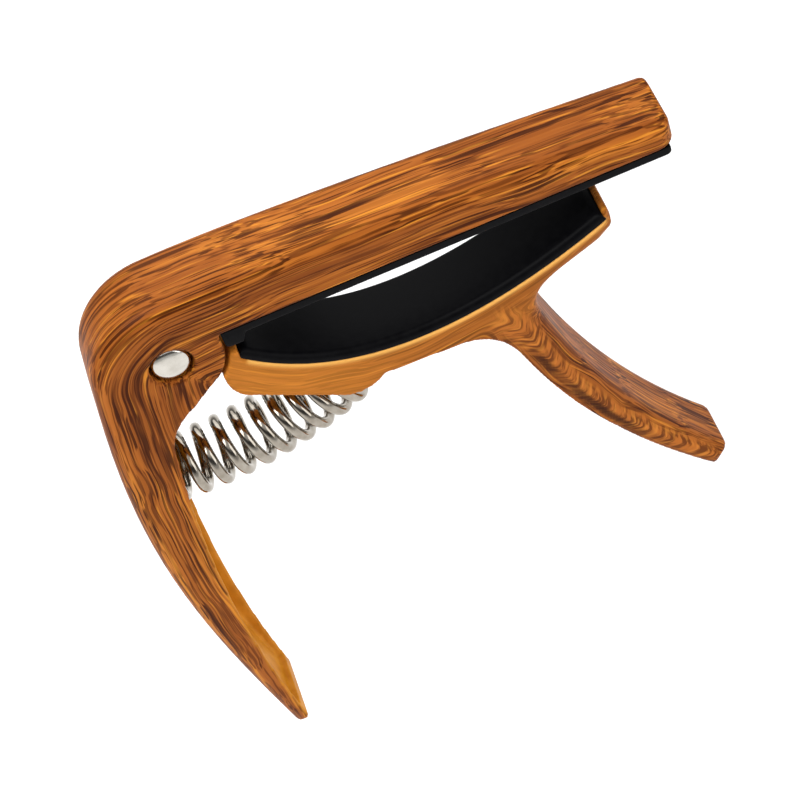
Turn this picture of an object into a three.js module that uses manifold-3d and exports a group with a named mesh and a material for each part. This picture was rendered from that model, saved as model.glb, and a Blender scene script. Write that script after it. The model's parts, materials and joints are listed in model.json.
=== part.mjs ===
// A trigger guitar capo: two die-cast arms that scissor on one pivot pin, held shut by a compression
// spring between them. Millimetres. +X runs along the bar to its free end, +Z is the bar's outer side,
// and Y runs along the pivot pin. The origin is the middle of the face that presses on the strings.

import * as THREE from "three";
import { mergeVertices } from "three/addons/utils/BufferGeometryUtils.js";
import Module from "manifold-3d";

// Overall
const WIDTH = 11; // both arms, along the pivot pin
const GAP = 0.3; // between pieces that touch on the real object
const PIVOT_X = -38; // pivot axis, from the middle of the string face
const PIVOT_Z = -0.55;

// Pivot
const PIN_RADIUS = 2.6;
const PIN_HOLE_RADIUS = 3.0;
const PIN_RECESS = 0.3; // how far the pin's ends sit below the cheeks
const PIN_CHAMFER = 0.5;
const KNUCKLE_RADIUS = 5.2; // round end of the tongue
const TONGUE_WIDTH = 5.0;
const SLOT_WIDTH = 5.6;
const SLOT_RADIUS = 5.7;
const CHEEK_RADIUS = 7.0; // outer edge of the two cheeks, about the pivot
const CRADLE_END_RADIUS = 7.6; // end of the cradle that turns round the cheeks

// Bar. Heights are above the pivot axis.
const BAR_END = 69.7;
const BAR_UNDER = 2.1;
const BAR_TOP_AT_END = 5.9;
const BAR_CROWN_X = 19; // the top bows gently towards the free end
const BAR_CROWN_Z = 10.8;
const SHOULDER_RADIUS = 12.2;
const SHOULDER_X = 1.5;
const SHOULDER_START = 0.95 * Math.PI; // where the lever's back runs into the shoulder
const SHOULDER_Z = -1.85;
const OUTER_EDGE_RADIUS = 2.2; // the soft edges along the back of both arms

// Handles
const LEVER_TIP_Z = -85.7;
const TRIGGER_TIP_X = 66.7;
const TRIGGER_TIP_Z = -63.0;
const TAPER_TOP_Z = -25; // the trigger narrows below this height
const TRIGGER_TIP_SCALE = 0.97;
const LEVER_CHANNEL_WIDTH = 9.8; // the hollow backs of the two handles
const TRIGGER_CHANNEL_WIDTH = 8.4;

// Pads
const STRING_PAD_START = 7.3;
const STRING_PAD_END = 68.8;
const STRING_PAD_UNDER = 0.55;
const HEEL_UNDER = -1.0; // the pad's end at the hinge reaches down past the string face
const HEEL_LENGTH = 2.2;
const HEEL_ROUND = 0.4;
const HEEL_FILLET = 1.0; // from the heel up to the string face
const NECK_PAD_THICKNESS = 1.3;
const PAD_EDGE = 0.6;

// Spring
const WIRE_DIAMETER = 1.5;
const SPRING_DIAMETER = 9.6; // outside
const SPRING_CLEARANCE = 0.15; // all round the coil in its wells
const SPRING_TURNS = 11.5;
const SPRING_PHASE = THREE.MathUtils.degToRad(90);
const SPRING_END_TURN = 0.06; // share of the length that each closed end turn takes
const STEPS_PER_TURN = 14;
const SPRING_SETBACK = WIRE_DIAMETER / 2 + GAP; // from the middle of the end turn to the metal behind it
const LEVER_WELL_LENGTH = 9;
const CRADLE_WELL_LENGTH = 14;
const STUD_RADIUS = 2.4;
const STUD_LENGTH = 3.2;
const STUD_ROOT = 0.6; // how deep the stud is sunk in the metal behind it
const SEAT_RADIUS = 3.9; // the round pad that backs the coil under the cradle
const SEAT_THICKNESS = 2.2;

// Metals and rubber
const woodPrint = new THREE.MeshStandardMaterial({ color: 0xb8702c, roughness: 0.35, metalness: 0.1 });
const nickel = new THREE.MeshStandardMaterial({ color: 0xc9c6c0, roughness: 0.18, metalness: 1.0 });
const polishedSteel = new THREE.MeshStandardMaterial({ color: 0xcfccc6, roughness: 0.2, metalness: 1.0 });
const blackSilicone = new THREE.MeshStandardMaterial({ color: 0x0c0c0d, roughness: 0.55, metalness: 0.0 });

const wasm = await Module();
wasm.setup();

// A closed geometry as a manifold solid.
function solid(geometry) {
  const bare = geometry.index ? geometry.toNonIndexed() : geometry.clone();
  bare.deleteAttribute("normal");
  bare.deleteAttribute("uv");
  const merged = mergeVertices(bare, 1e-4);
  return new wasm.Manifold(new wasm.Mesh({
    numProp: 3,
    vertProperties: new Float32Array(merged.attributes.position.array),
    triVerts: new Uint32Array(merged.index.array),
  }));
}

// A manifold solid as a geometry.
function toGeometry(body) {
  const mesh = body.getMesh();
  const geometry = new THREE.BufferGeometry();
  geometry.setAttribute("position", new THREE.BufferAttribute(mesh.vertProperties, 3));
  geometry.setIndex(new THREE.BufferAttribute(mesh.triVerts, 1));
  geometry.computeVertexNormals();
  return geometry;
}

// A side-view outline (x along the bar, y up) made as thick as width, centred on the pin's middle.
function plate(shape, width, edge = 0, segments = 12) {
  const geometry = new THREE.ExtrudeGeometry(shape, {
    depth: width - 2 * edge,
    curveSegments: segments,
    bevelEnabled: edge > 0,
    bevelThickness: edge,
    bevelSize: edge,
    bevelOffset: -edge,
    bevelSegments: 4,
  });
  geometry.translate(0, 0, edge - width / 2);
  geometry.rotateX(Math.PI / 2);
  return geometry;
}

// A disc on the pivot axis.
function disc(radius, width) {
  return new THREE.CylinderGeometry(radius, radius, width, 40);
}

// Narrows the trigger evenly from the full width at TAPER_TOP_Z to TRIGGER_TIP_SCALE at its tip.
function taper(geometry) {
  const points = geometry.attributes.position;
  for (let i = 0; i < points.count; i += 1) {
    const fall = (points.getZ(i) - TAPER_TOP_Z) / (TRIGGER_TIP_Z - TAPER_TOP_Z);
    const along = THREE.MathUtils.clamp(fall, 0, 1);
    points.setY(i, points.getY(i) * (1 - along * (1 - TRIGGER_TIP_SCALE)));
  }
  return geometry;
}

// The line through the middle of the coil: level at the lever, bending up to the cradle.
const springAxis = new THREE.CubicBezierCurve3(
  new THREE.Vector3(-10.2, 0, -24.1),
  new THREE.Vector3(2, 0, -25.9),
  new THREE.Vector3(12, 0, -23.4),
  new THREE.Vector3(20.6, 0, -18.7),
);

// A cylinder on the spring's axis. It starts at end 0 or 1 of the spring, set back by setback,
// and is length long in towards the spring's middle.
function onSpringAxis(end, radius, length, setback) {
  const inward = springAxis.getTangentAt(end).multiplyScalar(end === 0 ? 1 : -1);
  const middle = springAxis.getPointAt(end).addScaledVector(inward, length / 2 - setback);
  const geometry = new THREE.CylinderGeometry(radius, radius, length, 32);
  const turn = new THREE.Quaternion().setFromUnitVectors(new THREE.Vector3(0, 1, 0), inward);
  geometry.applyQuaternion(turn);
  geometry.translate(middle.x, middle.y, middle.z);
  return geometry;
}

// The round hollow that clears the coil.
function springWell(end, length) {
  return onSpringAxis(end, SPRING_DIAMETER / 2 + SPRING_CLEARANCE, length, SPRING_SETBACK);
}

// The stud inside the coil that keeps its end in place.
function springStud(end) {
  return onSpringAxis(end, STUD_RADIUS, STUD_LENGTH + STUD_ROOT, SPRING_SETBACK + STUD_ROOT);
}

// The outer line of the upper arm, from the lever's tip up its back, round the shoulder and along the bar.
function addUpperArmBack(shape) {
  const backX = SHOULDER_X + SHOULDER_RADIUS * Math.cos(SHOULDER_START);
  const backZ = SHOULDER_Z + SHOULDER_RADIUS * Math.sin(SHOULDER_START);
  shape.bezierCurveTo(-14.5, -52, -16.5, -32.0, backX, backZ);
  shape.absarc(SHOULDER_X, SHOULDER_Z, SHOULDER_RADIUS, SHOULDER_START, Math.PI / 2, true);
}

function upperArmOutline() {
  const shape = new THREE.Shape();
  shape.moveTo(-8.5, LEVER_TIP_Z);
  addUpperArmBack(shape);
  shape.quadraticCurveTo(BAR_CROWN_X, BAR_CROWN_Z, BAR_END - 1, BAR_TOP_AT_END);
  shape.quadraticCurveTo(BAR_END, BAR_TOP_AT_END, BAR_END, BAR_TOP_AT_END - 1);
  shape.lineTo(BAR_END, BAR_UNDER);
  shape.lineTo(CHEEK_RADIUS, BAR_UNDER);
  shape.lineTo(CHEEK_RADIUS, 0);
  shape.absarc(0, 0, CHEEK_RADIUS, 0, -Math.PI / 3, true);
  shape.lineTo(0.3, -8.7);
  shape.quadraticCurveTo(-4.6, -11.4, -5.0, -17);
  shape.quadraticCurveTo(-10.2, -50, -6.4, LEVER_TIP_Z + 2.6);
  shape.quadraticCurveTo(-6.2, LEVER_TIP_Z, -8.5, LEVER_TIP_Z);
  return shape;
}

// The same back line with everything in front of it filled, so that only the outer edges get rounded.
function upperArmBlank() {
  const shape = new THREE.Shape();
  shape.moveTo(-8.5, LEVER_TIP_Z);
  addUpperArmBack(shape);
  shape.quadraticCurveTo(BAR_CROWN_X, BAR_CROWN_Z, BAR_END, BAR_TOP_AT_END);
  shape.lineTo(BAR_END, -20);
  shape.lineTo(30, -20);
  shape.lineTo(10, LEVER_TIP_Z);
  shape.closePath();
  return shape;
}

// The slot between the cheeks, open to the front and downwards, where the tongue turns.
function slotOutline() {
  const shape = new THREE.Shape();
  shape.moveTo(-SLOT_RADIUS, 0);
  shape.lineTo(2.5, 5.0);
  shape.lineTo(CHEEK_RADIUS + 0.2, BAR_UNDER);
  shape.lineTo(CHEEK_RADIUS + 2, -22);
  shape.lineTo(-SLOT_RADIUS, -22);
  shape.closePath();
  return shape;
}

// The hollow of the lever, deep behind the spring and running out near the tip.
function leverChannelOutline() {
  const shape = new THREE.Shape();
  shape.moveTo(4, -16);
  shape.lineTo(-7, -16);
  shape.quadraticCurveTo(-11.2, -17, -11.3, -21);
  shape.quadraticCurveTo(-12.9, -52, -7.6, -81);
  shape.lineTo(4, -81);
  shape.closePath();
  return shape;
}

function upperArm() {
  const body = solid(plate(upperArmBlank(), WIDTH, OUTER_EDGE_RADIUS, 20))
    .intersect(solid(plate(upperArmOutline(), WIDTH + 2, 0, 20)))
    .subtract(solid(plate(leverChannelOutline(), LEVER_CHANNEL_WIDTH, 0, 16)))
    .subtract(solid(springWell(0, LEVER_WELL_LENGTH)))
    .add(solid(springStud(0)))
    .subtract(solid(plate(slotOutline(), SLOT_WIDTH)))
    .subtract(solid(disc(SLOT_RADIUS, SLOT_WIDTH)))
    .subtract(solid(disc(PIN_HOLE_RADIUS, WIDTH + 2)));
  return toGeometry(body);
}

// The cradle's curved seat, from the hinge end to the lip at the far end.
const seat = new THREE.CubicBezierCurve(
  new THREE.Vector2(8.4, -3.6),
  new THREE.Vector2(20, -16.1),
  new THREE.Vector2(38, -15.7),
  new THREE.Vector2(58.0, -6.2),
);

function lowerArmOutline() {
  const shape = new THREE.Shape();
  const first = Math.asin(-2.1 / CRADLE_END_RADIUS);
  const last = -0.8;
  shape.absarc(0, 0, CRADLE_END_RADIUS, last, first, false);
  shape.lineTo(8.3, -2.1);
  shape.lineTo(seat.v0.x, seat.v0.y);
  shape.bezierCurveTo(seat.v1.x, seat.v1.y, seat.v2.x, seat.v2.y, seat.v3.x, seat.v3.y);
  shape.lineTo(58.2, -4.6);
  shape.lineTo(58.9, -4.6);
  shape.quadraticCurveTo(60.0, -8.3, 57.2, -9.9);
  shape.bezierCurveTo(49.5, -13.4, 45.0, -13.2, 47.5, -22);
  shape.quadraticCurveTo(53.0, -44.8, TRIGGER_TIP_X, TRIGGER_TIP_Z);
  shape.quadraticCurveTo(66.7, -65.4, 64.6, -65.2);
  shape.quadraticCurveTo(48.7, -46.9, 42.6, -25);
  shape.quadraticCurveTo(40.7, -17.9, 35.0, -17.6);
  shape.lineTo(24.6, -17.1);
  shape.quadraticCurveTo(22.2, -19.3, 19.0, -18.4);
  shape.lineTo(6.7, -10.4);
  shape.quadraticCurveTo(5.3, -8.7, 5.3, -7.0);
  shape.closePath();
  return shape;
}

// The trigger's back and the cradle's end, with everything in front of them filled.
function lowerArmBlank() {
  const shape = new THREE.Shape();
  shape.moveTo(59, -73);
  shape.lineTo(TRIGGER_TIP_X, TRIGGER_TIP_Z);
  shape.quadraticCurveTo(53.0, -44.8, 47.5, -22);
  shape.bezierCurveTo(45.0, -13.2, 49.5, -13.4, 57.2, -9.9);
  shape.lineTo(59.6, -8.0);
  shape.lineTo(58.9, 12);
  shape.lineTo(-12, 12);
  shape.lineTo(-12, -22);
  shape.closePath();
  return shape;
}

// The tongue that carries the cradle on the pin.
function tongueOutline() {
  const shape = new THREE.Shape();
  shape.moveTo(2.6, 4.4);
  shape.lineTo(7.3, -2.1);
  shape.lineTo(8.1, -4.4);
  shape.lineTo(9, -10);
  shape.lineTo(6.5, -8.6);
  shape.lineTo(-0.5, -5.1);
  shape.closePath();
  return shape;
}

// The round pad behind the coil under the cradle.
function springSeat() {
  return onSpringAxis(1, SEAT_RADIUS, SEAT_THICKNESS, SPRING_SETBACK + SEAT_THICKNESS);
}

// The hollow back of the trigger handle.
function triggerChannelOutline() {
  const shape = new THREE.Shape();
  shape.moveTo(39, -22);
  shape.lineTo(43.5, -22);
  shape.quadraticCurveTo(45.6, -27, 47.4, -31.6);
  shape.quadraticCurveTo(53.0, -48.4, 62.6, -61.8);
  shape.lineTo(58, -64);
  shape.closePath();
  return shape;
}

function lowerArm() {
  const body = solid(taper(plate(lowerArmBlank(), WIDTH, OUTER_EDGE_RADIUS, 16)))
    .intersect(solid(plate(lowerArmOutline(), WIDTH + 2, 0, 16)))
    .add(solid(plate(tongueOutline(), TONGUE_WIDTH)))
    .add(solid(disc(KNUCKLE_RADIUS, TONGUE_WIDTH)))
    .subtract(solid(springWell(1, CRADLE_WELL_LENGTH)))
    .add(solid(springSeat()))
    .add(solid(springStud(1)))
    .subtract(solid(taper(plate(triggerChannelOutline(), TRIGGER_CHANNEL_WIDTH, 0, 12))))
    .subtract(solid(disc(PIN_HOLE_RADIUS, WIDTH)));
  return toGeometry(body);
}

function pivotPin() {
  const half = WIDTH / 2 - PIN_RECESS;
  const profile = [
    new THREE.Vector2(0, -half),
    new THREE.Vector2(PIN_RADIUS - PIN_CHAMFER, -half),
    new THREE.Vector2(PIN_RADIUS, PIN_CHAMFER - half),
    new THREE.Vector2(PIN_RADIUS, half - PIN_CHAMFER),
    new THREE.Vector2(PIN_RADIUS - PIN_CHAMFER, half),
    new THREE.Vector2(0, half),
  ];
  return toGeometry(solid(new THREE.LatheGeometry(profile, 40)));
}

class CoilCurve extends THREE.Curve {
  // t runs along the wire. The end turns lie nearly flat and the rest share the remaining length.
  getPoint(t, target = new THREE.Vector3()) {
    const turn = t * SPRING_TURNS;
    const open = (turn - 1) / (SPRING_TURNS - 2);
    let along = SPRING_END_TURN + open * (1 - 2 * SPRING_END_TURN);
    if (turn < 1) along = SPRING_END_TURN * turn;
    if (turn > SPRING_TURNS - 1) along = 1 - SPRING_END_TURN * (SPRING_TURNS - turn);
    const centre = springAxis.getPointAt(THREE.MathUtils.clamp(along, 0, 1));
    const tangent = springAxis.getTangentAt(THREE.MathUtils.clamp(along, 0, 1));
    const upright = new THREE.Vector3(-tangent.z, 0, tangent.x);
    const radius = (SPRING_DIAMETER - WIRE_DIAMETER) / 2;
    const angle = 2 * Math.PI * turn - SPRING_PHASE;
    target.copy(centre);
    target.addScaledVector(upright, radius * Math.cos(angle));
    target.y -= radius * Math.sin(angle);
    return target;
  }
}

function returnSpring() {
  const wire = new THREE.Shape();
  wire.absarc(0, 0, WIRE_DIAMETER / 2, 0, 2 * Math.PI, false);
  const geometry = new THREE.ExtrudeGeometry(wire, {
    steps: Math.round(SPRING_TURNS * STEPS_PER_TURN),
    curveSegments: 4,
    bevelEnabled: false,
    extrudePath: new CoilCurve(),
  });
  return toGeometry(solid(geometry));
}

function stringPad() {
  const shape = new THREE.Shape();
  const top = BAR_UNDER - GAP;
  const round = 0.7;
  const heelEnd = STRING_PAD_START + HEEL_LENGTH;
  const faceStart = heelEnd + HEEL_FILLET;
  shape.moveTo(STRING_PAD_START, top);
  shape.lineTo(STRING_PAD_START, HEEL_UNDER + HEEL_ROUND);
  shape.quadraticCurveTo(STRING_PAD_START, HEEL_UNDER, STRING_PAD_START + HEEL_ROUND, HEEL_UNDER);
  shape.lineTo(heelEnd - HEEL_ROUND, HEEL_UNDER);
  shape.bezierCurveTo(heelEnd, HEEL_UNDER, heelEnd, STRING_PAD_UNDER, faceStart, STRING_PAD_UNDER);
  shape.lineTo(STRING_PAD_END - round, STRING_PAD_UNDER);
  shape.quadraticCurveTo(STRING_PAD_END, STRING_PAD_UNDER, STRING_PAD_END, STRING_PAD_UNDER + round);
  shape.lineTo(STRING_PAD_END, top);
  shape.closePath();
  return toGeometry(solid(plate(shape, WIDTH - 0.2, 0, 4)));
}

// A point of the seat curve moved square to it by distance.
function overSeat(t, distance) {
  const tangent = seat.getTangent(t);
  const point = seat.getPoint(t);
  return new THREE.Vector2(point.x - tangent.y * distance, point.y + tangent.x * distance);
}

function neckPad() {
  const steps = 28;
  const under = [];
  const over = [];
  for (let i = 0; i <= steps; i += 1) {
    const t = 0.008 + (0.98 * i) / steps;
    under.push(overSeat(t, GAP));
    over.unshift(overSeat(t, GAP + NECK_PAD_THICKNESS));
  }
  return toGeometry(solid(plate(new THREE.Shape([...under, ...over]), WIDTH - 0.2, PAD_EDGE)));
}

const group = new THREE.Group();
const arms = new THREE.Group();
arms.position.set(PIVOT_X, 0, PIVOT_Z);
group.add(arms);

function addPiece(name, geometry, material) {
  const mesh = new THREE.Mesh(geometry, material);
  mesh.name = name;
  arms.add(mesh);
}

addPiece("upper_arm", upperArm(), woodPrint);
addPiece("lower_arm", lowerArm(), woodPrint);
addPiece("pivot_pin", pivotPin(), polishedSteel);
addPiece("return_spring", returnSpring(), nickel);
addPiece("string_pad", stringPad(), blackSilicone);
addPiece("neck_pad", neckPad(), blackSilicone);

export default group;
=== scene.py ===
import json
import math

import bmesh
import bpy
import numpy as np
from mathutils import Matrix, Vector


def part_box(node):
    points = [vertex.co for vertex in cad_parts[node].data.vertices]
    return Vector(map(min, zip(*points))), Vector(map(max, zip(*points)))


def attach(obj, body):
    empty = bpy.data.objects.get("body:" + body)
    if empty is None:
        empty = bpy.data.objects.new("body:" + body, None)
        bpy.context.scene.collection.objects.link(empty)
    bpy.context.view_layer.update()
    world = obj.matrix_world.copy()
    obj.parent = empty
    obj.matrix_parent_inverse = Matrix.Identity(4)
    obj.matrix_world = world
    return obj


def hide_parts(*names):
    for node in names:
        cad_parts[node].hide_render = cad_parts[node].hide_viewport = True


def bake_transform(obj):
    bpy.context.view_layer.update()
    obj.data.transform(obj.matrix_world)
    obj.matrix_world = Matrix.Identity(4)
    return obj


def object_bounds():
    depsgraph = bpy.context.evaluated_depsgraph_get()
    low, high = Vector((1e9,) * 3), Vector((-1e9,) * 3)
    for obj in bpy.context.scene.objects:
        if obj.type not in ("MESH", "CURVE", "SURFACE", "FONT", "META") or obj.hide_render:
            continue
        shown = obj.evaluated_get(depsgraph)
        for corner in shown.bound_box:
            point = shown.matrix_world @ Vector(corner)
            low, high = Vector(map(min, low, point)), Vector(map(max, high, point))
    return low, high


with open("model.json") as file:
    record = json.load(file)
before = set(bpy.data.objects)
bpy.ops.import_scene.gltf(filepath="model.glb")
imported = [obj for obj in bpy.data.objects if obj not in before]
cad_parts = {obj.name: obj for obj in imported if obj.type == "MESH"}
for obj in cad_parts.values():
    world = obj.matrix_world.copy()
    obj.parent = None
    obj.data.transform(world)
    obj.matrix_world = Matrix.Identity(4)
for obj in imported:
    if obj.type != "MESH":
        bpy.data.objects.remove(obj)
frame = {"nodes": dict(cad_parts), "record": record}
cad_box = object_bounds()

MM = 0.001
pin_low, pin_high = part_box("pivot_pin")
PIVOT = (pin_low + pin_high) / 2


def part_point(x, y, z):
    """A point given in millimetres from the middle of the pivot pin, in the shared frame."""
    return PIVOT + Vector((x, y, z)) * MM


# ---------------------------------------------------------------- meshes

VOXEL = 0.0003  # of the skins over the arms
SKIN_PASSES = 3
WELD = 1e-6
CURVE_SAMPLES = 400


def new_object(name, mesh):
    piece = bpy.data.objects.new(name, mesh)
    bpy.context.scene.collection.objects.link(piece)
    return piece


def shade_smooth(mesh):
    mesh.polygons.foreach_set("use_smooth", [True] * len(mesh.polygons))
    mesh.update()


def evaluated(piece):
    """The piece's mesh with its modifiers applied."""
    graph = bpy.context.evaluated_depsgraph_get()
    mesh = bpy.data.meshes.new_from_object(piece.evaluated_get(graph))
    piece.modifiers.clear()
    piece.data = mesh
    return mesh


def cast_skin(name, node):
    """A fine skin over a CAD arm, with the soft edges of a die casting."""
    mesh = frame["nodes"][node].data.copy()
    work = bmesh.new()
    work.from_mesh(mesh)
    bmesh.ops.remove_doubles(work, verts=work.verts, dist=WELD)
    work.to_mesh(mesh)
    work.free()
    piece = new_object(name, mesh)
    remesh = piece.modifiers.new("skin", "REMESH")
    remesh.mode = "VOXEL"
    remesh.voxel_size = VOXEL
    soften = piece.modifiers.new("soften", "SMOOTH")
    soften.factor = 0.5
    soften.iterations = SKIN_PASSES
    mesh = evaluated(piece)
    mesh.materials.clear()
    shade_smooth(mesh)
    return piece


def sweep(name, rings):
    """A closed mesh through rings of points, each a closed loop with the same number of points."""
    count = len(rings[0])
    last = (len(rings) - 1) * count
    points = [p for ring in rings for p in ring]
    faces = []
    for i in range(len(rings) - 1):
        for j in range(count):
            k = (j + 1) % count
            faces.append((i * count + j, i * count + k, (i + 1) * count + k, (i + 1) * count + j))
    faces.append(tuple(reversed(range(count))))
    faces.append(tuple(last + j for j in range(count)))
    mesh = bpy.data.meshes.new(name)
    mesh.from_pydata([tuple(p) for p in points], [], faces)
    work = bmesh.new()
    work.from_mesh(mesh)
    bmesh.ops.recalc_face_normals(work, faces=work.faces)
    work.to_mesh(mesh)
    work.free()
    shade_smooth(mesh)
    return new_object(name, mesh)


def bezier(p0, p1, p2, p3, t):
    """A point and the unit direction of travel on a cubic curve, in two dimensions."""
    p0, p1, p2, p3 = (np.array(p, float) for p in (p0, p1, p2, p3))
    u = 1 - t
    point = u**3 * p0 + 3 * u * u * t * p1 + 3 * u * t * t * p2 + t**3 * p3
    slope = 3 * u * u * (p1 - p0) + 6 * u * t * (p2 - p1) + 3 * t * t * (p3 - p2)
    return point, slope / np.linalg.norm(slope)


def even_steps(curve, count):
    """Parameters of count + 1 points evenly spaced along a cubic curve, and the curve's length."""
    fine = np.linspace(0, 1, CURVE_SAMPLES)
    points = np.array([bezier(*curve, t)[0] for t in fine])
    run = np.concatenate([[0], np.cumsum(np.linalg.norm(np.diff(points, axis=0), axis=1))])
    return np.interp(np.linspace(0, run[-1], count + 1), run, fine), run[-1]


def ease(t):
    """A smooth step that is 0 up to 0, and 1 from 1."""
    t = np.clip(t, 0, 1)
    return t * t * (3 - 2 * t)


def step_between(values, low, high):
    return ease((values - low) / (high - low))


# ---------------------------------------------------------------- grain that follows the arms

# Lines along the arms' sides, as x and z in mm from the pin. The streaks of the print run along them.
BAR_LINE = [(72, 4.5), (40, 6.0), (12, 6.4)]
SHOULDER = (2.0, -3.5, 9.9)  # centre x, z and radius of the middle line's bend
SHOULDER_POINTS = 12
LEVER_LINE = [(-8.7, -12), (-9.7, -25), (-10.4, -40), (-10.1, -55), (-9.0, -70), (-7.4, -86)]
CRADLE_LINE = [(2, -2), (7, -7), (14, -12.5), (22, -15.4), (30, -15.8), (40, -14.6), (50, -11.4), (60, -7)]
TRIGGER_LINE = [(40, -15), (43.5, -22), (46, -31), (51, -44), (58, -55.5), (67, -66)]
TRIGGER_START = 40  # mm along the cradle where the trigger's streaks carry on

# The seat of the neck pad, as a cubic curve
SEAT = ((8.4, -3.6), (20, -16.1), (38, -15.7), (58.0, -6.2))
SEAT_POINTS = 40

# Where the two halves of the print meet in a herringbone, and the dark line by the trigger's inner edge
SEAM_LINE = [
    (38, -13), (42.3, -17.1), (44.0, -20.5), (45.9, -27.5),
    (48.6, -35.8), (52.6, -44.8), (57.5, -53), (64, -62),
]
SEAM_REACH = 1.6  # half width of the herringbone in mm
SEAM_ANGLE = math.radians(38)
INNER_LINE = [
    (42.7, -21), (43.8, -24.3), (46.5, -32), (48.8, -38),
    (50.8, -42.6), (53.9, -48.9), (59.3, -56.7),
]

# The recesses of the two handles: half the width in mm, and the height below which they start
LEVER_RECESS = (5.05, -15)
LEVER_BRIM_TOP = -26
TRIGGER_RECESS = (4.45, -19)

OWN_SHARE = 0.3  # of a point's value in each pass of softening


def shoulder_points():
    cx, cz, radius = SHOULDER
    turns = np.linspace(math.pi / 2, math.pi, SHOULDER_POINTS)
    return [(cx + radius * math.cos(a), cz + radius * math.sin(a)) for a in turns]


def along_line(points, line):
    """How far along a line each point lies, how far to its left, and how far away, all in mm."""
    line = np.array(line, float)
    starts, steps = line[:-1], np.diff(line, axis=0)
    lengths = np.linalg.norm(steps, axis=1)
    before = np.concatenate([[0], np.cumsum(lengths)])[:-1]
    away = np.full(len(points), np.inf)
    along = np.zeros(len(points))
    across = np.zeros(len(points))
    for start, step, length, offset in zip(starts, steps, lengths, before):
        unit = step / length
        relative = points - start
        clipped = np.clip(relative @ unit, 0, length)
        near = np.linalg.norm(relative - clipped[:, None] * unit, axis=1)
        side = relative @ np.array([-unit[1], unit[0]])
        closer = near < away
        away[closer] = near[closer]
        along[closer] = offset + clipped[closer]
        across[closer] = (np.sign(side) * near)[closer]
    return along, across, away


def soften_values(mesh, values, passes):
    """Evens values out between neighbouring points of a mesh."""
    edges = np.zeros(len(mesh.edges) * 2, np.int64)
    mesh.edges.foreach_get("vertices", edges)
    a, b = edges.reshape(-1, 2).T
    degree = np.bincount(np.concatenate([a, b]), minlength=len(values)).astype(float)
    degree = degree.reshape(-1, *([1] * (values.ndim - 1)))
    for _ in range(passes):
        total = np.zeros_like(values)
        np.add.at(total, a, values[b])
        np.add.at(total, b, values[a])
        values = OWN_SHARE * values + (1 - OWN_SHARE) * total / degree
    return values


def local_mm(mesh):
    """The mesh's points in mm from the pin."""
    co = np.zeros(len(mesh.vertices) * 3)
    mesh.vertices.foreach_get("co", co)
    return (co.reshape(-1, 3) - np.array(PIVOT)) / MM


def normals_of(mesh):
    values = np.zeros(len(mesh.vertices) * 3, np.float32)
    mesh.vertices.foreach_get("normal", values)
    return values.reshape(-1, 3)


def keep_vectors(mesh, name, values):
    attribute = mesh.attributes.new(name, "FLOAT_VECTOR", "POINT")
    attribute.data.foreach_set("vector", values.astype(np.float32).ravel())


def keep_numbers(mesh, name, values):
    attribute = mesh.attributes.new(name, "FLOAT", "POINT")
    attribute.data.foreach_set("value", values.astype(np.float32))


def grain_upper(piece):
    """Where the print's streaks, the painted sheen along its rounded outside and its bare recess lie on the
    upper arm.
    """
    mesh = piece.data
    points = local_mm(mesh)
    width, height = points[:, 1], points[:, 2]
    facing = normals_of(mesh)[:, 0]
    along, across, _ = along_line(points[:, [0, 2]], BAR_LINE + shoulder_points() + LEVER_LINE)
    grain = np.stack([along, across, width], axis=1)
    keep_vectors(mesh, "grain", soften_values(mesh, grain, 6))
    keep_vectors(mesh, "vee", grain)
    half, top = LEVER_RECESS
    inside = (np.abs(width) < half) & (height < top) & (facing > -0.3)
    brim = (facing > 0.45) & (height < LEVER_BRIM_TOP)
    keep_numbers(mesh, "bare", soften_values(mesh, (inside | brim).astype(float), 1))
    # painted sheen: a band along the rounded outside edge, stronger further down, that stands in for the
    # light the curved surface reflects
    painted_sheen = step_between(-across, 3.3, 4.6) * (0.35 + 0.45 * step_between(-height, -6, 14))
    keep_numbers(mesh, "edge", soften_values(mesh, painted_sheen, 3))
    for name in ("rim", "plain", "seam", "line"):
        keep_numbers(mesh, name, np.zeros(len(points)))


def herringbone_place(flat, width):
    """Slanted places on both sides of the seam, and how far along the seam and away from it."""
    along, _, away = along_line(flat, SEAM_LINE)
    slant = (math.cos(SEAM_ANGLE), math.sin(SEAM_ANGLE))
    first = along * slant[0] - away * slant[1]
    second = along * slant[1] + away * slant[0]
    vee = np.stack([first, second, width], axis=1)
    return vee, along, away


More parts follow.
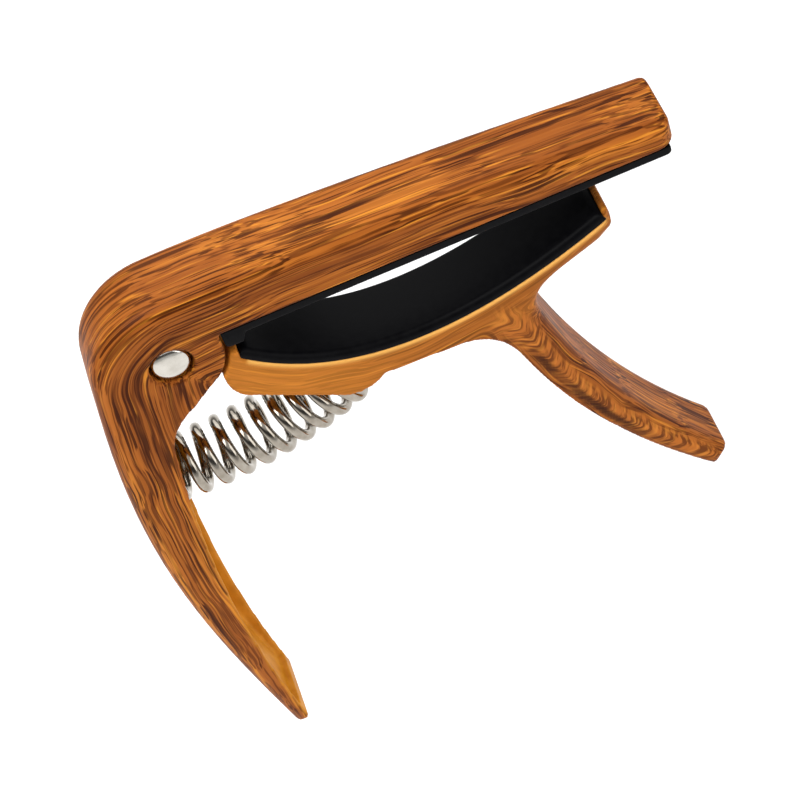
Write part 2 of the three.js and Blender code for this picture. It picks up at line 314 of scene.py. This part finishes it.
def grain_lower(piece):
    """Where the print's streaks, herringbone, dark line and bare places lie on the lower arm."""
    mesh = piece.data
    points = local_mm(mesh)
    width, height = points[:, 1], points[:, 2]
    flat = points[:, [0, 2]]
    normal = normals_of(mesh)

    cradle_along, cradle_across, cradle_away = along_line(flat, CRADLE_LINE)
    trigger_along, trigger_across, trigger_away = along_line(flat, TRIGGER_LINE)
    on_trigger = step_between(cradle_away - trigger_away, -1.5, 1.5) * step_between(-height, 14, 20)
    share = on_trigger[:, None]
    on_cradle_grain = np.stack([cradle_along, cradle_across, width], axis=1)
    on_trigger_grain = np.stack([trigger_along + TRIGGER_START, trigger_across, width], axis=1)
    grain = on_cradle_grain * (1 - share) + on_trigger_grain * share
    keep_vectors(mesh, "grain", soften_values(mesh, grain, 10))

    half, top = TRIGGER_RECESS
    inside = (np.abs(width) < half) & (height < top) & (normal[:, 0] < 0.3)
    keep_numbers(mesh, "bare", soften_values(mesh, inside.astype(float), 1))
    keep_numbers(mesh, "edge", np.zeros(len(points)))

    seat_line = [bezier(*SEAT, t)[0] for t in np.linspace(0, 1, SEAT_POINTS)]
    depth = along_line(flat, seat_line)[2]
    rim = (1 - step_between(depth, 0.25, 0.7)) * (points[:, 0] > 9)
    keep_numbers(mesh, "rim", soften_values(mesh, rim, 1))
    thin = (1 - on_trigger) * (1 - 0.6 * step_between(points[:, 0], 16, 34))
    keep_numbers(mesh, "plain", soften_values(mesh, thin, 4))

    vee, along, away = herringbone_place(flat, width)
    keep_vectors(mesh, "vee", soften_values(mesh, vee, 1))
    flank = step_between(np.abs(normal[:, 1]), 0.6, 0.9)
    reach = SEAM_REACH * (1 + 0.9 * (1 - step_between(along, 8, 18)))
    seam = (1 - step_between(away / reach, 0.5, 1.0)) * flank * step_between(along, 2, 5)
    keep_numbers(mesh, "seam", soften_values(mesh, seam, 2))

    along, _, away = along_line(flat, INNER_LINE)
    fading = step_between(along, 1, 8) * (1 - step_between(along, 28, 40))
    keep_numbers(mesh, "line", (1 - step_between(away, 0.3, 0.8)) * flank * fading)


# ---------------------------------------------------------------- materials


class Nodes:
    """Short calls for wiring a material."""

    def __init__(self, name):
        self.material = bpy.data.materials.new(name)
        self.material.use_nodes = True
        self.tree = self.material.node_tree
        self.shader = self.tree.nodes["Principled BSDF"]

    def add(self, kind, **values):
        node = self.tree.nodes.new(kind)
        for key, value in values.items():
            setattr(node, key, value)
        return node

    def link(self, source, target):
        self.tree.links.new(source, target)

    def put(self, socket, value):
        if isinstance(value, bpy.types.NodeSocket):
            self.link(value, socket)
        else:
            socket.default_value = value

    def math(self, operation, a, b):
        node = self.add("ShaderNodeMath", operation=operation)
        self.put(node.inputs[0], a)
        self.put(node.inputs[1], b)
        return node.outputs[0]

    def times(self, a, b):
        return self.math("MULTIPLY", a, b)

    def plus(self, a, b):
        return self.math("ADD", a, b)

    def place(self, name):
        """A vector kept on the mesh."""
        return self.add("ShaderNodeAttribute", attribute_name=name).outputs["Vector"]

    def mask(self, name):
        """A number kept on the mesh."""
        return self.add("ShaderNodeAttribute", attribute_name=name).outputs["Fac"]

    def object_place(self):
        return self.add("ShaderNodeTexCoord").outputs["Object"]

    def stretch(self, vector, scale, offset=(0, 0, 0)):
        node = self.add("ShaderNodeMapping")
        self.put(node.inputs["Vector"], vector)
        node.inputs["Scale"].default_value = scale
        node.inputs["Location"].default_value = offset
        return node.outputs[0]

    def noise(self, vector, detail, roughness=0.5, scale=1.0):
        node = self.add("ShaderNodeTexNoise")
        self.put(node.inputs["Vector"], vector)
        node.inputs["Scale"].default_value = scale
        node.inputs["Detail"].default_value = detail
        node.inputs["Roughness"].default_value = roughness
        return node.outputs["Fac"]

    def band(self, value, low, high):
        """0 below low, 1 above high."""
        node = self.add("ShaderNodeMapRange", interpolation_type="SMOOTHSTEP", clamp=True)
        self.put(node.inputs["Value"], value)
        node.inputs["From Min"].default_value = low
        node.inputs["From Max"].default_value = high
        return node.outputs[0]

    def streak(self, place, along, across, offset, low, high, detail=1.0):
        """1 in long streaks and 0 between them, closer together where along and across are larger."""
        value = self.noise(self.stretch(place, (along, across, across), offset), detail, 0.6)
        return self.band(value, low, high)

    def ramp(self, value, stops):
        node = self.add("ShaderNodeValToRGB")
        fill_ramp(node.color_ramp, stops)
        self.put(node.inputs[0], value)
        return node.outputs[0]

    def mix(self, factor, a, b):
        node = self.add("ShaderNodeMix", data_type="RGBA")
        # a mix node has several sockets called A and B, and these are the ones for colours
        self.put(node.inputs[0], factor)
        self.put(node.inputs[6], a)
        self.put(node.inputs[7], b)
        return node.outputs[2]

    def colour(self, value):
        self.link(value, self.shader.inputs["Base Color"])

    def set(self, **levels):
        """Plain values for the shader, with underscores in place of the spaces in their names."""
        for name, level in levels.items():
            self.shader.inputs[name.replace("_", " ")].default_value = level

    def roughness(self, value, low, high):
        node = self.add("ShaderNodeMapRange")
        self.link(value, node.inputs["Value"])
        node.inputs["To Min"].default_value = low
        node.inputs["To Max"].default_value = high
        self.link(node.outputs[0], self.shader.inputs["Roughness"])

    def bump(self, height, strength, distance):
        node = self.add("ShaderNodeBump")
        node.inputs["Strength"].default_value = strength
        node.inputs["Distance"].default_value = distance
        self.put(node.inputs["Height"], height)
        self.link(node.outputs[0], self.shader.inputs["Normal"])


def fill_ramp(ramp, stops):
    """Stops are pairs of a place from 0 to 1 and a colour."""
    while len(ramp.elements) < len(stops):
        ramp.elements.new(0.5)
    for element, (place, colour) in zip(ramp.elements, stops):
        element.position = place
        element.color = colour


def srgb(r, g, b):
    def one(c):
        c /= 255
        return c / 12.92 if c <= 0.04045 else ((c + 0.055) / 1.055) ** 2.4

    return (one(r), one(g), one(b), 1.0)


def grey(level):
    return (level, level, level, 1.0)


def wandering(n, grain):
    """The grain's place pushed a little across the arm, so that the streaks wander."""
    sway = n.noise(n.stretch(grain, (0.030, 0.07, 0.07)), 1.0)
    ripple = n.noise(n.stretch(grain, (0.11, 0.20, 0.20), (7, 3, 1)), 1.0)
    sideways = n.plus(n.times(n.math("SUBTRACT", sway, 0.5), 4.0), n.math("SUBTRACT", ripple, 0.5))
    push = n.add("ShaderNodeCombineXYZ")
    n.link(sideways, push.inputs["Y"])
    n.link(n.times(sideways, 0.7), push.inputs["Z"])
    moved = n.add("ShaderNodeVectorMath", operation="ADD")
    n.link(grain, moved.inputs[0])
    n.link(push.outputs[0], moved.inputs[1])
    return moved.outputs[0]


def printed_streaks(n, film):
    """The print's colour, with the masks of its darkest streaks and of where they fade."""
    tone = n.noise(n.stretch(film, (0.030, 0.45, 0.45), (3, 0, 0)), 2.0)
    colour = n.ramp(
        tone,
        [
            (0.28, srgb(134, 72, 26)),
            (0.45, srgb(160, 89, 33)),
            (0.58, srgb(178, 102, 38)),
            (0.74, srgb(202, 124, 46)),
        ],
    )
    soft = n.streak(film, 0.030, 1.15, (5, 1, 8), 0.42, 0.66)
    colour = n.mix(n.times(soft, 0.45), colour, srgb(126, 62, 18))
    light = n.streak(film, 0.036, 1.7, (31, 5, 8), 0.56, 0.70)
    colour = n.mix(n.times(light, 0.62), colour, srgb(226, 146, 48))
    fine = n.streak(film, 0.050, 2.9, (1, 9, 4), 0.49, 0.60)
    colour = n.mix(n.times(fine, 0.72), colour, srgb(88, 40, 10))
    fade = n.band(n.noise(n.stretch(film, (0.08, 0.4, 0.4), (9, 9, 2)), 1.0), 0.36, 0.58)
    dark = n.streak(film, 0.030, 2.2, (11, 2, 5), 0.53, 0.60)
    worn = n.times(n.plus(n.times(fade, 0.55), 0.34), dark)
    return n.mix(worn, colour, srgb(58, 22, 4)), dark, fade


def herringbone(n):
    """The slanted streaks down the trigger, where the two halves of the print meet."""
    vee = n.place("vee")
    wisp = n.streak(vee, 0.24, 1.65, (4, 4, 4), 0.42, 0.58, 2.0)
    flame = n.streak(vee, 0.22, 1.30, (14, 2, 9), 0.52, 0.66)
    weave = n.mix(n.times(wisp, 0.78), srgb(182, 104, 40), srgb(76, 34, 12))
    return n.mix(n.times(flame, 0.55), weave, srgb(216, 136, 52))


def wood_print():
    n = Nodes("wood_print")
    grain = n.place("grain")
    colour, dark, fade = printed_streaks(n, wandering(n, grain))
    colour = n.mix(n.mask("seam"), colour, herringbone(n))
    shade = n.times(n.mask("line"), n.plus(n.times(fade, 0.4), 0.45))
    colour = n.mix(shade, colour, srgb(44, 18, 6))
    # the cradle is printed more thinly, and its rim along the pad has only the base coat
    colour = n.mix(n.times(n.mask("plain"), 0.60), colour, srgb(206, 128, 44))
    colour = n.mix(n.mask("rim"), colour, srgb(240, 178, 92))
    # painted sheen: towards the outside edge the colour runs into a plainer brown band, which stands in for
    # the light that the rounded surface reflects there
    colour = n.mix(n.mask("edge"), colour, srgb(150, 86, 44))
    # the recesses keep the golden base coat, which the film doesn't reach
    mottle = n.noise(n.stretch(grain, (0.25, 0.5, 0.5)), 3.0)
    coat = n.ramp(mottle, [(0.3, srgb(186, 116, 24)), (0.7, srgb(212, 142, 42))])
    n.colour(n.mix(n.mask("bare"), colour, coat))
    gloss = n.noise(n.stretch(grain, (0.5, 0.9, 0.9)), 3.0)
    n.roughness(gloss, 0.36, 0.48)
    n.set(Coat_Weight=0.02, Coat_Roughness=0.15, Specular_IOR_Level=0.035)
    n.bump(n.plus(n.times(dark, -0.6), gloss), 0.10, 0.00005)
    return n.material


def black_silicone():
    n = Nodes("black_silicone")
    place = n.object_place()
    cloud = n.noise(n.stretch(place, (900, 900, 900)), 4.0)
    pore = n.noise(n.stretch(place, (5200, 5200, 5200)), 2.0)
    n.colour(n.ramp(cloud, [(0.3, srgb(5, 5, 7)), (0.7, srgb(11, 11, 13))]))
    n.roughness(cloud, 0.36, 0.50)
    n.set(Specular_IOR_Level=0.045)
    n.bump(pore, 0.12, 0.00002)
    return n.material


def plated_metal(name, light, dark, low, high, marks):
    """Bare metal whose colour and roughness, from low to high, vary in small marks."""
    n = Nodes(name)
    scuff = n.noise(n.stretch(n.object_place(), marks), 3.0)
    n.colour(n.ramp(scuff, [(0.3, dark), (0.7, light)]))
    n.roughness(scuff, low, high)
    n.set(Metallic=1.0)
    n.bump(scuff, 0.08, 0.00002)
    return n.material


def floor_white():
    n = Nodes("floor_white")
    cloud = n.noise(n.object_place(), 2.0, scale=2.0)
    n.colour(n.ramp(cloud, [(0.0, grey(0.93)), (1.0, grey(0.96))]))
    n.set(Roughness=0.9, Specular_IOR_Level=0.1)
    return n.material


# ---------------------------------------------------------------- the two arms

wood = wood_print()

upper = cast_skin("upper_arm_casting", "upper_arm")
grain_upper(upper)
upper.data.materials.append(wood)
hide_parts("upper_arm")
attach(upper, "bar_body")

lower = cast_skin("lower_arm_casting", "lower_arm")
grain_lower(lower)
lower.data.materials.append(wood)
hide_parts("lower_arm")
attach(lower, "jaw_body")

# ---------------------------------------------------------------- pads

rubber = black_silicone()
CORNER_STEPS = 6


def rounded_rectangle(low_a, high_a, low_b, high_b, radii):
    """Points anticlockwise from the low-low corner, with one radius for each corner in that order."""
    corners = [
        (low_a, low_b, math.pi),
        (high_a, low_b, 1.5 * math.pi),
        (high_a, high_b, 0.0),
        (low_a, high_b, 0.5 * math.pi),
    ]
    result = []
    for (a, b, start), radius in zip(corners, radii):
        ca = a + radius if a == low_a else a - radius
        cb = b + radius if b == low_b else b - radius
        for i in range(CORNER_STEPS + 1):
            turn = start + i / CORNER_STEPS * math.pi / 2
            result.append((ca + radius * math.cos(turn), cb + radius * math.sin(turn)))
    return result


def quarter_round(t):
    """How far a quarter round has still to rise, from 1 at its start to 0 at its end."""
    return 1 - math.sqrt(max(0.0, 1 - (1 - t) ** 2))


# metres
STRING_PAD_RADII = (0.00055, 0.00055, 0.0001, 0.0001)
STRING_PAD_GLUED = 0.00028  # its back fills the gap that stands in for the glue
STRING_PAD_ROUND = 0.0007  # of its ends
HEEL_LENGTH = 0.0022  # the end at the hinge reaches down past the flat face
HEEL_FILLET = 0.0010


def string_pad_stations(low_x, high_x):
    """Places along the string pad, closer together at its ends and at the heel."""
    end_steps = [0, 0.03, 0.12, 0.3, 0.6, 1.0]
    heel_end = low_x + HEEL_LENGTH + HEEL_FILLET
    stations = [low_x + s * STRING_PAD_ROUND for s in end_steps]
    stations += list(np.linspace(low_x + STRING_PAD_ROUND, heel_end, 16)[1:-1])
    stations += list(np.linspace(heel_end, high_x - STRING_PAD_ROUND, 60)[:-1])
    return stations + [high_x - s * STRING_PAD_ROUND for s in reversed(end_steps)]


def string_pad():
    low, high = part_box("string_pad")
    string_face = next(m for m in frame["record"]["mounts"] if m["name"] == "string_face")
    face = string_face["pos_m"][2]
    top = high.z + STRING_PAD_GLUED
    rings = []
    for x in string_pad_stations(low.x, high.x):
        t = min(min(x - low.x, high.x - x) / STRING_PAD_ROUND, 1.0)
        lift = STRING_PAD_ROUND * quarter_round(t) * 0.6
        under = low.z + (face - low.z) * ease((x - low.x - HEEL_LENGTH) / HEEL_FILLET)
        inset = lift * 0.4
        profile = rounded_rectangle(low.y + inset, high.y - inset, under + lift, top, STRING_PAD_RADII)
        rings.append([Vector((x, a, b)) for a, b in profile])
    piece = sweep("string_pad_silicone", rings)
    piece.data.materials.append(rubber)
    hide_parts("string_pad")
    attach(piece, "bar_body")


# millimetres
NECK_PAD_TOP = 1.45
NECK_PAD_BOTTOM = 0.04
NECK_PAD_EDGE = 0.95  # radius of its upper edges
NECK_PAD_FOOT = 0.1  # radius of its lower edges
NECK_PAD_DROP = 0.7  # of the top towards each end
NECK_PAD_REACH = 0.5  # past each end of the seat
NECK_PAD_STEPS = 90


def neck_pad():
    low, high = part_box("neck_pad")
    half = (high.y - low.y) / 2 / MM
    steps, length = even_steps(SEAT, NECK_PAD_STEPS)
    places = np.linspace(0, length, len(steps))
    run = length + 2 * NECK_PAD_REACH
    ends = [0.0, 0.03, 0.1, 0.25, 0.5, 0.75, 1.0]
    between = list(np.linspace(1.0, run - 1.0, NECK_PAD_STEPS)[1:-1])
    stations = ends + between + [run - e for e in reversed(ends)]
    rings = []
    for station in stations:
        inside = min(max(station - NECK_PAD_REACH, 0), length)
        point, direction = bezier(*SEAT, np.interp(inside, places, steps))
        point = point + direction * (station - NECK_PAD_REACH - inside)
        normal = np.array([-direction[1], direction[0]])
        top = NECK_PAD_TOP - NECK_PAD_DROP * quarter_round(min(station, run - station, 1.0))
        edge = min(NECK_PAD_EDGE, (top - NECK_PAD_BOTTOM) * 0.7)
        radii = (NECK_PAD_FOOT, NECK_PAD_FOOT, edge, edge)
        ring = []
        for a, b in rounded_rectangle(-half, half, NECK_PAD_BOTTOM, top, radii):
            place = point + normal * b
            ring.append(part_point(place[0], a, place[1]))
        rings.append(ring)
    piece = sweep("neck_pad_silicone", rings)
    piece.data.materials.append(rubber)
    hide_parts("neck_pad")
    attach(piece, "jaw_body")


string_pad()
neck_pad()

# ---------------------------------------------------------------- pin

PIN_SIDES = 64
DOME_STEPS = 14
DOME_RIM = 0.0005  # metres that the dome's rim lies inside the end of the CAD pin
DOME_HEIGHT = 0.0009
DOME_CENTRE = 1e-5  # radius of the innermost ring


def pivot_pin():
    low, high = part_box("pivot_pin")
    radius = (high.x - low.x) / 2
    half = (high.y - low.y) / 2
    profile = []
    for i in range(DOME_STEPS + 1):
        turn = math.pi / 2 * i / DOME_STEPS
        profile.append((radius * math.sin(turn), half - DOME_RIM + DOME_HEIGHT * math.cos(turn)))
    profile.append((radius, 0.0))
    whole = profile + [(r, -y) for r, y in reversed(profile[:-1])]
    rings = []
    for r, y in whole:
        r = max(r, DOME_CENTRE)
        turns = [2 * math.pi * i / PIN_SIDES for i in range(PIN_SIDES)]
        rings.append([PIVOT + Vector((r * math.cos(turn), y, r * math.sin(turn))) for turn in turns])
    piece = sweep("pivot_pin_turned", rings)
    piece.data.materials.append(
        plated_metal("pin_steel", srgb(206, 202, 194), srgb(188, 183, 174), 0.12, 0.20, (700, 200, 700))
    )
    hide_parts("pivot_pin")
    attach(piece, "bar_body")


pivot_pin()

# ---------------------------------------------------------------- spring

SPRING_AXIS = ((-10.2, -24.1), (2, -25.9), (12, -23.4), (20.6, -18.7))  # a cubic curve, mm from the pin
AXIS_STEPS = 400
SPRING_TURNS = 11.5
SPRING_END_TURN = 0.06  # share of the axis that each closed end turn takes
SPRING_PHASE = math.radians(90)
COIL_RADIUS = 4.05
WIRE_RADIUS = 0.78
POINTS_PER_TURN = 36
WIRE_SIDES = 16


def share_of_axis(turn):
    """How far along the axis the coil has come after a number of turns, from 0 to 1."""
    if turn < 1:
        return SPRING_END_TURN * turn
    if turn > SPRING_TURNS - 1:
        return 1 - SPRING_END_TURN * (SPRING_TURNS - turn)
    return SPRING_END_TURN + (turn - 1) / (SPRING_TURNS - 2) * (1 - 2 * SPRING_END_TURN)


def coil_points():
    steps, _ = even_steps(SPRING_AXIS, AXIS_STEPS)
    count = int(SPRING_TURNS * POINTS_PER_TURN)
    points = []
    for i in range(count + 1):
        turn = i / count * SPRING_TURNS
        t = np.interp(share_of_axis(turn) * AXIS_STEPS, range(AXIS_STEPS + 1), steps)
        centre, direction = bezier(*SPRING_AXIS, t)
        upright = np.array([-direction[1], direction[0]])
        angle = 2 * math.pi * turn - SPRING_PHASE
        flat = centre + upright * COIL_RADIUS * math.cos(angle)
        points.append(part_point(flat[0], -COIL_RADIUS * math.sin(angle), flat[1]))
    return points


def wire_ring(point, forward):
    """A section of the wire. It starts on the side that is square to the wire and to the arms' width."""
    around = forward.cross(Vector((0, 1, 0)))
    side = around.normalized() if around.length > 0.05 else forward.orthogonal().normalized()
    other = forward.cross(side).normalized()
    turns = [2 * math.pi * i / WIRE_SIDES for i in range(WIRE_SIDES)]
    return [point + (side * math.cos(turn) + other * math.sin(turn)) * WIRE_RADIUS * MM for turn in turns]


def return_spring():
    points = coil_points()
    last = len(points) - 1
    rings = []
    for i, point in enumerate(points):
        forward = (points[min(i + 1, last)] - points[max(i - 1, 0)]).normalized()
        rings.append(wire_ring(point, forward))
    piece = sweep("return_spring_coil", rings)
    piece.data.materials.append(
        plated_metal("spring_nickel", srgb(168, 161, 150), srgb(142, 134, 122), 0.10, 0.18, (900, 900, 900))
    )
    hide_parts("return_spring")
    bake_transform(piece)


return_spring()

# ---------------------------------------------------------------- floor, light and camera

FLOOR_HALF = 3.0
FLOOR_DROP = 0.02  # metres below the part

TARGET = part_point(25.0, 0, -29.7)
CAMERA_ELEVATION = math.radians(50)
CAMERA_ROLL = math.radians(22.717)
CAMERA_DISTANCE = 0.340
CAMERA_LENS = 111.6

# The studio's wall, from straight below to straight above: bright, with a dim band for the metal to reflect
WALL = [(0.0, 0.85), (0.52, 0.80), (0.60, 0.10), (0.76, 0.10), (0.84, 0.9), (1.0, 1.0)]
WALL_STRENGTH = 0.85


def floor():
    half = FLOOR_HALF
    z = cad_box[0][2] - FLOOR_DROP
    mesh = bpy.data.meshes.new("floor")
    corners = [(-half, -half, z), (half, -half, z), (half, half, z), (-half, half, z)]
    mesh.from_pydata(corners, [], [(0, 1, 2, 3)])
    piece = new_object("floor", mesh)
    mesh.materials.append(floor_white())


def area_light(name, place, size, power):
    """A square lamp aimed at the target."""
    data = bpy.data.lights.new(name, "AREA")
    data.energy = power
    data.size = size
    lamp = bpy.data.objects.new(name, data)
    bpy.context.scene.collection.objects.link(lamp)
    lamp.location = place
    lamp.rotation_euler = (TARGET - Vector(place)).to_track_quat("-Z", "Y").to_euler()


def studio():
    world = bpy.data.worlds.new("studio")
    bpy.context.scene.world = world
    world.use_nodes = True
    nodes, links = world.node_tree.nodes, world.node_tree.links
    direction = nodes.new("ShaderNodeTexCoord")
    parts = nodes.new("ShaderNodeSeparateXYZ")
    height = nodes.new("ShaderNodeMapRange")
    height.inputs["From Min"].default_value = -1
    height.inputs["From Max"].default_value = 1
    wall = nodes.new("ShaderNodeValToRGB")
    fill_ramp(wall.color_ramp, [(place, grey(level)) for place, level in WALL])
    background = nodes["Background"]
    background.inputs["Strength"].default_value = WALL_STRENGTH
    links.new(direction.outputs["Generated"], parts.inputs[0])
    links.new(parts.outputs["Z"], height.inputs["Value"])
    links.new(height.outputs[0], wall.inputs[0])
    links.new(wall.outputs[0], background.inputs["Color"])
    bpy.context.scene.view_settings.view_transform = "Standard"


def camera():
    back = Vector((0, -math.cos(CAMERA_ELEVATION), math.sin(CAMERA_ELEVATION)))
    level_up = Vector((0, math.sin(CAMERA_ELEVATION), math.cos(CAMERA_ELEVATION)))
    level_right = Vector((1, 0, 0))
    right = math.cos(CAMERA_ROLL) * level_right - math.sin(CAMERA_ROLL) * level_up
    up = math.sin(CAMERA_ROLL) * level_right + math.cos(CAMERA_ROLL) * level_up
    data = bpy.data.cameras.new("camera")
    data.sensor_width = 36
    data.lens = CAMERA_LENS
    data.clip_start = 0.01
    item = bpy.data.objects.new("camera", data)
    bpy.context.scene.collection.objects.link(item)
    matrix = Matrix((right, up, back)).transposed().to_4x4()
    matrix.translation = TARGET + back * CAMERA_DISTANCE
    item.matrix_world = matrix
    bpy.context.scene.camera = item


floor()
area_light("key", (-0.30, -0.15, 0.60), 0.50, 4.2)
area_light("fill", (0.55, -0.40, 0.30), 0.5, 2.0)
area_light("back", (0.1, 0.6, 0.5), 0.7, 2.5)
studio()
camera()
